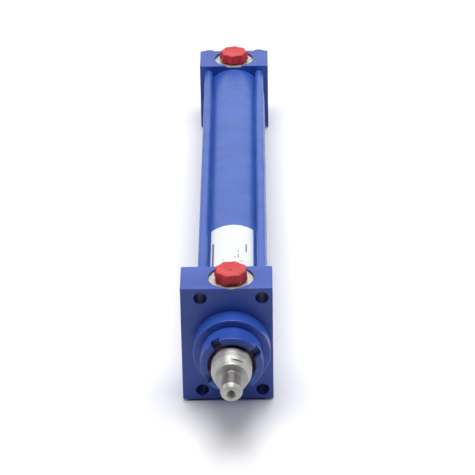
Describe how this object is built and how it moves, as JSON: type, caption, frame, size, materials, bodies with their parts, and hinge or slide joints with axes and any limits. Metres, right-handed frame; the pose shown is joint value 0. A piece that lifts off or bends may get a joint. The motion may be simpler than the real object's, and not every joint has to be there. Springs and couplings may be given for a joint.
{
  "type": "hydraulic cylinder",
  "caption": "Tie-rod hydraulic cylinder with a rectangular front head for screws, ports on top closed by plastic plugs, and a rod with a male threaded end.",
  "frame": {"origin": "centre of the cap's rear face", "axes": "-Y along the cylinder's axis towards the rod end, +Z towards the ports, +X to the right seen from the rod end's side"},
  "size_m": [0.05, 0.4005, 0.0754],
  "materials": {
    "blue_paint": "sprayed enamel, satin gloss",
    "hard_chrome": "ground and chromed",
    "machined_steel": "turned",
    "bronze": "turned",
    "hard_seal": "matte",
    "rubber": "matte",
    "red_plastic": "moulded, slightly waxy",
    "label_film": "printed film"
  },
  "bodies": {
    "barrel": {"head": "blue_paint", "cap": "blue_paint", "tube": "blue_paint", "gland": "blue_paint", "tie_rod_top_left": "blue_paint", "tie_rod_top_right": "blue_paint", "tie_rod_bottom_left": "blue_paint", "tie_rod_bottom_right": "blue_paint", "tie_rod_nut_top_left": "blue_paint", "tie_rod_nut_top_right": "blue_paint", "tie_rod_nut_bottom_left": "blue_paint", "tie_rod_nut_bottom_right": "blue_paint", "type_label": "label_film", "rod_wiper": "rubber", "rod_seal": "hard_seal", "rod_seal_energizer": "rubber", "rod_guide_bush": "bronze", "gland_o_ring": "rubber", "gland_backup_ring": "hard_seal", "tube_o_ring_front": "rubber", "tube_o_ring_rear": "rubber"},
    "piston_rings": {"piston_seal": "hard_seal", "piston_seal_energizer": "rubber", "piston_wear_ring_front": "bronze", "piston_wear_ring_rear": "bronze"},
    "rod_assembly": {"piston_rod": "hard_chrome", "piston": "machined_steel", "piston_nut": "machined_steel", "piston_o_ring": "rubber"},
    "front_plug": {"front_port_plug": "red_plastic"},
    "rear_plug": {"rear_port_plug": "red_plastic"}
  },
  "joints": [
    {"name": "rod_slide", "type": "slide", "parent": "barrel", "child": "piston_rings", "axis": [0, -1, 0], "range_m": [0, 0.25]},
    {"name": "rod_turn", "type": "hinge", "parent": "piston_rings", "child": "rod_assembly", "pos_m": [0, -0.378, 0], "axis": [0, -1, 0], "continuous": true},
    {"name": "front_plug_pull", "type": "slide", "parent": "barrel", "child": "front_plug", "axis": [0, 0, 1], "range_m": [0, 0.016]},
    {"name": "rear_plug_pull", "type": "slide", "parent": "barrel", "child": "rear_plug", "axis": [0, 0, 1], "range_m": [0, 0.016]}
  ]
}
